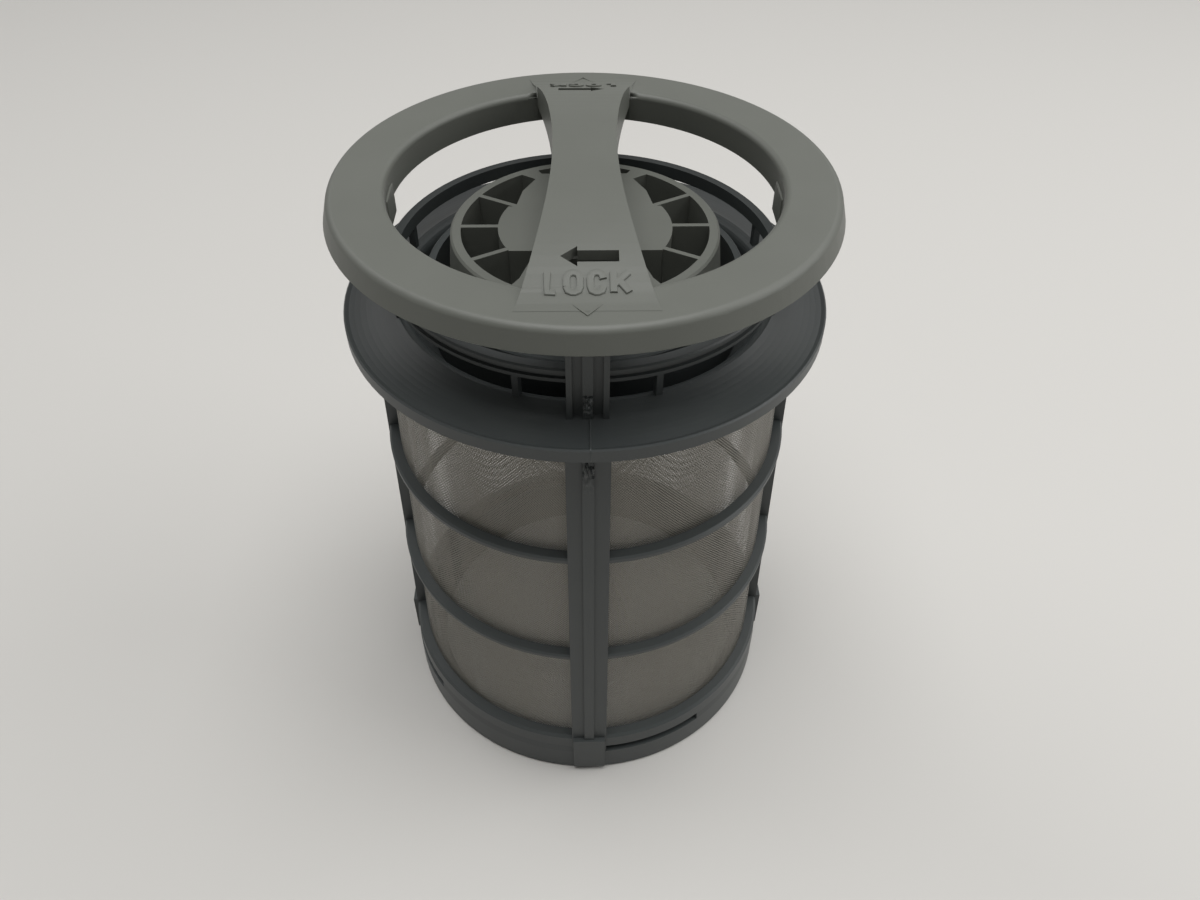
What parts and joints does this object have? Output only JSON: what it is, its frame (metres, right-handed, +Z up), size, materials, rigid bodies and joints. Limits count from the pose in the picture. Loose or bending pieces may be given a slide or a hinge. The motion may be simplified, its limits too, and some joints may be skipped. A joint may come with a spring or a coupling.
{
  "type": "dishwasher filter",
  "caption": "Cylindrical dishwasher filter with a ring and bridge handle, a coarse grid in its neck and a steel mesh screen in a ribbed plastic cage.",
  "frame": {"origin": "centre of the bottom ring, on the table it stands on", "axes": "+Z up along the filter's axis, -Y towards the rib and the handle end nearest the viewer, +X to the viewer's right"},
  "size_m": [0.095, 0.095, 0.1385],
  "materials": {
    "dark_plastic": "matte",
    "grey_plastic": "matte",
    "woven_steel": "woven wire"
  },
  "bodies": {
    "root": {"cage": "dark_plastic", "handle_ring": "grey_plastic", "coarse_grid": "grey_plastic", "filter_screen": "woven_steel"}
  },
  "joints": []
}
